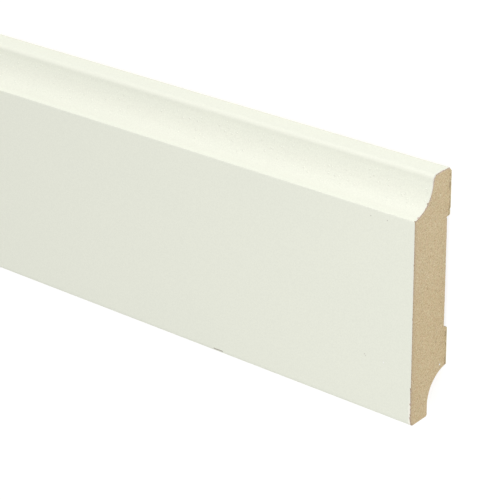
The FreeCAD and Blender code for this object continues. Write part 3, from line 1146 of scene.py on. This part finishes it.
def end_mesh(name, section, foil, board, side, seed):
    """The mesh of one end's slice: its torn face, the rings behind it and its flat back."""
    outline, coated = board_outline(section, foil)
    size = len(outline)
    wear = [
        Vector((0.0, 0.0)) if under else end_wear(p, into.normalized(), section, board, seed, side > 0)
        for p, into, under in zip(outline, inward(outline + outline[:1]), coated)
    ]
    ring = [p + worn for p, worn in zip(outline, wear)]
    places, polygons, rim = sawn_face(ring, section, board, seed)

    def on_pad(p):
        return p.x > section.rear_cove_top and p.y < PAD_SKIN

    raw_line = [p for p in stretch_of(ring, coated, False) if on_pad(p)]
    gaps = {
        FROM_FOIL: list(distances(places, stretch_of(outline, coated, True))),
        FROM_RAW: list(distances(places, raw_line)),
        FROM_EDGE: list(distances(places, ring + ring[:1])),
    }

    def vertex(level, place):
        return side * level, place.x + BOARD_LOW.y, place.y + BOARD_LOW.z

    end = section.length / 2
    vertices = [
        vertex(end - FACE_SET_BACK - torn_depth(place, min(near_foil, near_raw), board, seed), place)
        for place, near_foil, near_raw in zip(places, gaps[FROM_FOIL], gaps[FROM_RAW])
    ]
    for back, share_left in END_RINGS:
        inner = list(range(len(vertices), len(vertices) + size))
        vertices += [vertex(end - back * MM, p + worn * share_left) for p, worn in zip(outline, wear)]
        gaps[FROM_EDGE] += [0.0] * size
        gaps[FROM_FOIL] += [0.0 if under else FAR_OFF for under in coated]
        gaps[FROM_RAW] += [0.0 if share_left and on_pad(p) else FAR_OFF for p in outline]
        polygons += [(rim[i], rim[i - 1], inner[i - 1], inner[i]) for i in (*range(1, size), 0)]
        rim = inner
    polygons.append(tuple(rim))
    mesh = bpy.data.meshes.new(name)
    mesh.from_pydata(vertices, [], polygons)
    store_numbers(mesh, gaps)
    mesh.update()
    return mesh


def sawn_end(scene, side, name, seed):
    """The slice of fibreboard at one end, with a torn face and crumbled raw edges."""
    mesh = end_mesh(name, *settings_of(scene), side, seed)
    made = link_object(name, mesh)
    shape = bmesh.new()
    shape.from_mesh(mesh)
    bmesh.ops.remove_doubles(shape, verts=shape.verts, dist=0.5 * SAME_POINT)
    bmesh.ops.recalc_face_normals(shape, faces=shape.faces)
    shape.to_mesh(mesh)
    shape.free()
    mesh.update()
    smooth_by_angle(mesh, END_CREASE)
    mesh.materials.append(bpy.data.materials.get(RAW_BOARD) or fibreboard_finish(scene.skirting_board_stock))
    finish_piece(made)


# How far a fibre leans from the board's height within the face and out of it, and its scale along each axis
FIBRE_LEAN = math.radians(40)
FIBRE_TILT = math.radians(14)
FIBRE_SCALES = ((0.6, 0.6, 0.4), (1.3, 1.3, 1.3))

# How clear of the end's edge fibres stay, as a share of their length
FIBRE_CLEARANCE = 0.75


def fibre_tree():
    """Scatters short fibres over the sawn face given as a mesh, most of them along the board's height."""
    tree = Modelling(FIBRES, {
        "Density": 1.0, "Fibre Length": 0.5 * MM, "Fibre Width": 0.06 * MM,
        "Furthest": 1.2, "Seed": 0, "Material": None,
    })
    given = tree.given
    seed = given["Seed"]
    scattered = tree.out(
        "GeometryNodeDistributePointsOnFaces", Mesh=given["Geometry"], Density=given["Density"], Seed=seed,
    )
    radius = tree.product(given["Fibre Width"], 0.5)
    long = given["Fibre Length"]
    fibre = tree.out("GeometryNodeMeshCylinder", Vertices=FIBRE_SIDES, Radius=radius, Depth=long)
    # A fibre is made upright along Z; a quarter turn about X lays it along the board's height
    spin = tree.random_vector(
        seed, (RIGHT - FIBRE_LEAN, -FIBRE_TILT, -FIBRE_TILT), (RIGHT + FIBRE_LEAN, FIBRE_TILT, FIBRE_TILT),
    )
    size = tree.random_vector(tree.maths("ADD", seed, 1.0), *FIBRE_SCALES)
    placed = tree.out(
        "GeometryNodeInstanceOnPoints", Points=scattered, Instance=fibre, Rotation=spin, Scale=size,
    )
    tone_seed = tree.maths("ADD", seed, 2.0)
    tone = tree.node("FunctionNodeRandomValue", {"data_type": "FLOAT"}, Seed=tone_seed).outputs[1]
    toned_fibres = tree.out(
        "GeometryNodeStoreNamedAttribute", {"data_type": "FLOAT", "domain": "INSTANCE"},
        Geometry=placed, Name=TONE, Value=tone,
    )
    real = tree.out("GeometryNodeRealizeInstances", Geometry=toned_fibres)
    # No fibre passes the plane of the sawn end
    place = tree.out("GeometryNodeInputPosition")
    x, y, z = tree.node("ShaderNodeSeparateXYZ", Vector=place).outputs
    furthest = given["Furthest"]
    capped = tree.out("ShaderNodeClamp", Value=x, Max=furthest, Min=tree.product(furthest, -1.0))
    kept_place = tree.out("ShaderNodeCombineXYZ", X=capped, Y=y, Z=z)
    return tree.ended(tree.out("GeometryNodeSetPosition", Geometry=real, Position=kept_place))


# A fibre's cell of the bake map: corner and size of its unrolled side, centre and radii of its lower end, and
# how far above that the upper end lies
SIDE_CORNER = (0.06, 0.1)
SIDE_SIZE = (0.56, 0.8)
END_CENTRE = (0.82, 0.28)
END_RADII = (0.11, 0.15)
END_STEP = 0.44


def fibre_spot(on_side, turn, top):
    """Place of a fibre's corner in its cell: the side lies unrolled on the left, the ends on the right."""
    if on_side:
        return SIDE_CORNER[0] + SIDE_SIZE[0] * turn / FIBRE_SIDES, SIDE_CORNER[1] + SIDE_SIZE[1] * top
    angle = math.tau * turn / FIBRE_SIDES
    across = END_CENTRE[0] + END_RADII[0] * math.cos(angle)
    return across, END_CENTRE[1] + END_STEP * top + END_RADII[1] * math.sin(angle)


def fibre_map(mesh):
    """A bake map that gives each fibre a cell of its own."""
    corners = 2 * FIBRE_SIDES
    across = math.ceil(math.sqrt(len(mesh.vertices) // corners))
    layer = mesh.uv_layers.new(name=BAKE_MAP)
    for face in mesh.polygons:
        row, column = divmod(face.vertices[0] // corners, across)
        on_side = len(face.vertices) == 4
        around = [v % corners % FIBRE_SIDES for v in face.vertices]
        wraps = on_side and max(around) - min(around) > 1
        for corner, vertex, turn in zip(face.loop_indices, face.vertices, around):
            turn = turn + FIBRE_SIDES if wraps and turn == 0 else turn
            u, v = fibre_spot(on_side, turn, vertex % corners // FIBRE_SIDES)
            layer.data[corner].uv = ((column + u) / across, (row + v) / across)


def torn_fibres(scene, end, name, seed):
    """Loose fibres that the saw has left standing on a sawn end, none of them near its edge."""
    section, _, board = settings_of(scene)
    face = bmesh.new()
    face.from_mesh(end.data)
    gap = face.verts.layers.float[FROM_EDGE]
    clear = FIBRE_CLEARANCE * board.fibre_length
    near_edge = [f for f in face.faces if min(v[gap] for v in f.verts) < clear]
    bmesh.ops.delete(face, geom=near_edge, context="FACES")
    mesh = bpy.data.meshes.new(name)
    face.to_mesh(mesh)
    face.free()
    made = link_object(name, mesh)
    material = bpy.data.materials.get(FIBRES) or torn_fibre_finish(board)
    run_tree(
        made, FIBRES, fibre_tree, Density=board.fibres / sum(f.area for f in mesh.polygons),
        Fibre_Length=board.fibre_length, Fibre_Width=board.fibre_width,
        Furthest=section.length / 2 - FIBRE_SET_BACK, Seed=seed, Material=material,
    )
    made.data.materials.clear()
    made.data.materials.append(material)
    fibre_map(made.data)
    finish_piece(made)


# Studio


# Lamps: name, place, aim, size in metres, power in watts
LAMPS = (
    ("window_lamp", (0.83, 1.6, 0.375), (1.03, 0.0, 0.015), 0.6, 10.48),
    ("near_lamp", (1.38, 0.03, 0.415), (1.18, 0.0, 0.015), 0.25, 0.51),
    ("toe_lamp", (1.12, -1.3, 0.16), (1.0, -0.03, 0.01), 0.5, 1.6),
)
WHITE = (1.0, 1.0, 1.0, 1.0)
FLOOR_GREY = (0.3, 0.3, 0.3, 1.0)
FLOOR_GLOW = 0.82
FLOOR_DROP = 0.02 * MM


def add_lamp(name, place, aim, size, power):
    lamp = bpy.data.lights.new(name, "AREA")
    lamp.shape = "SQUARE"
    lamp.size = size
    lamp.energy = power
    made = link_object(name, lamp)
    made.location = place
    made.rotation_euler = (Vector(aim) - Vector(place)).to_track_quat("-Z", "Y").to_euler()
    made.visible_camera = False


def add_camera(studio):
    camera = bpy.data.cameras.new("Camera")
    camera.lens = studio.lens
    camera.sensor_width = 36.0
    camera.clip_start = 0.01
    camera.clip_end = 400.0
    made = link_object("Camera", camera)
    place, aim = Vector(studio.camera_place), Vector(studio.camera_aim)
    forward = (aim - place).normalized()
    right = forward.cross(Vector((0, 1, 0))).normalized()
    basis = Matrix((right, right.cross(forward), -forward)).transposed()
    basis = basis @ Matrix.Rotation(-studio.camera_roll, 3, "Z")
    made.matrix_world = Matrix.Translation(place) @ basis.to_4x4()
    bpy.context.scene.camera = made


def set_world(studio):
    """Soft light from everywhere, but plain white for camera, mirror and glass rays."""
    world = bpy.data.worlds.new("Studio")
    world.use_nodes = True
    background = world.node_tree.nodes["Background"]
    background.inputs["Color"].default_value = WHITE
    nodes = Nodes(world.node_tree)
    rays = nodes.node("ShaderNodeLightPath").outputs
    seen = rays["Is Camera Ray"]
    for kind in ("Is Glossy Ray", "Is Transmission Ray"):
        seen = nodes.maths("MAXIMUM", seen, rays[kind])
    strength = nodes.out("ShaderNodeMix", {"data_type": "FLOAT"}, i0=seen, i2=studio.ambient, i3=1.0)
    world.node_tree.links.new(strength, background.inputs["Strength"])
    bpy.context.scene.world = world


def floor_finish(studio):
    """A pale floor that looks white to the camera and keeps a soft shadow."""
    material = bpy.data.materials.new("Pale floor")
    material.use_nodes = True
    material.node_tree.nodes.clear()
    nodes = Nodes(material.node_tree)
    lit = nodes.out("ShaderNodeBsdfDiffuse", Color=(*studio.floor_tint, 1.0))
    shaded = nodes.out("ShaderNodeBsdfDiffuse", Color=FLOOR_GREY)
    white = nodes.out("ShaderNodeEmission", Color=WHITE, Strength=FLOOR_GLOW)
    backdrop = nodes.out("ShaderNodeAddShader", i0=shaded, i1=white)
    seen = nodes.node("ShaderNodeLightPath").outputs["Is Camera Ray"]
    chosen = nodes.out("ShaderNodeMixShader", i0=seen, i1=lit, i2=backdrop)
    nodes.node("ShaderNodeOutputMaterial", Surface=chosen)
    return material


def add_floor(studio):
    half = studio.floor_size / 2
    level = BOARD_LOW.z - FLOOR_DROP
    corners = [(x * half, y * half, level) for x, y in ((-1, -1), (1, -1), (1, 1), (-1, 1))]
    mesh = bpy.data.meshes.new("floor")
    mesh.from_pydata(corners, [], [(0, 1, 2, 3)])
    mesh.materials.append(floor_finish(studio))
    link_object("floor", mesh)


# Operators, panel and registration


class SKIRTING_OT_mdf_body(bpy.types.Operator):
    """Runs the raw fibreboard moulding along its length"""

    bl_idname = "skirting.mdf_body"
    bl_label = "Fibreboard moulding"

    def execute(self, context):
        mdf_body(context.scene)
        return {"FINISHED"}


class SKIRTING_OT_foil_facing(bpy.types.Operator):
    """Wraps the white foil round toe, face, cove, nose and top"""

    bl_idname = "skirting.foil_facing"
    bl_label = "Foil facing"

    def execute(self, context):
        foil_facing(context.scene)
        return {"FINISHED"}


class SKIRTING_OT_sawn_ends(bpy.types.Operator):
    """Makes the torn face of the board at both sawn ends"""

    bl_idname = "skirting.sawn_ends"
    bl_label = "Sawn ends"

    def execute(self, context):
        seed = context.scene.skirting_board_stock.seed
        sawn_end(context.scene, 1.0, "sawn_end_near", seed)
        sawn_end(context.scene, -1.0, "sawn_end_far", seed + 1)
        return {"FINISHED"}


class SKIRTING_OT_torn_fibres(bpy.types.Operator):
    """Scatters torn fibres over both sawn ends"""

    bl_idname = "skirting.torn_fibres"
    bl_label = "Torn fibres"

    def execute(self, context):
        seed = context.scene.skirting_board_stock.seed
        for place, shift in (("near", 0), ("far", 1)):
            end = bpy.data.objects.get("sawn_end_" + place)
            if end is None:
                raise RuntimeError("The sawn ends have to be made before their fibres")
            torn_fibres(context.scene, end, "torn_fibres_" + place, seed + shift)
        return {"FINISHED"}


class SKIRTING_OT_studio(bpy.types.Operator):
    """Sets up floor, light and camera"""

    bl_idname = "skirting.studio"
    bl_label = "Studio"

    def execute(self, context):
        studio = context.scene.skirting_studio
        add_floor(studio)
        set_world(studio)
        add_camera(studio)
        for lamp in LAMPS:
            add_lamp(*lamp)
        return {"FINISHED"}


GROUPS = {
    "skirting_section": SkirtingSection,
    "skirting_foil": SkirtingFoil,
    "skirting_board_stock": SkirtingFibreboard,
    "skirting_studio": SkirtingStudio,
}
OPERATORS = (
    SKIRTING_OT_mdf_body,
    SKIRTING_OT_foil_facing,
    SKIRTING_OT_sawn_ends,
    SKIRTING_OT_torn_fibres,
    SKIRTING_OT_studio,
)


class SKIRTING_PT_maker(bpy.types.Panel):
    """Lists the sizes and steps of the board"""

    bl_label = "Skirting board"
    bl_idname = "SKIRTING_PT_maker"
    bl_space_type = "VIEW_3D"
    bl_region_type = "UI"
    bl_category = "Skirting"

    def draw(self, context):
        layout = self.layout
        for operator in OPERATORS:
            layout.operator(operator.bl_idname)
        for group in GROUPS:
            holder = getattr(context.scene, group)
            for name in holder.__annotations__:
                layout.prop(holder, name)


CLASSES = (*GROUPS.values(), *OPERATORS, SKIRTING_PT_maker)


def register():
    for made in CLASSES:
        bpy.utils.register_class(made)
    for name, group in GROUPS.items():
        setattr(bpy.types.Scene, name, bpy.props.PointerProperty(type=group))


def unregister():
    for name in GROUPS:
        delattr(bpy.types.Scene, name)
    for made in reversed(CLASSES):
        bpy.utils.unregister_class(made)


def main():
    register()
    bpy.context.scene.view_settings.view_transform = "Standard"
    bpy.ops.skirting.mdf_body()
    bpy.ops.skirting.foil_facing()
    bpy.ops.skirting.sawn_ends()
    bpy.ops.skirting.torn_fibres()
    bpy.ops.skirting.studio()


if __name__ == "__main__":
    main()
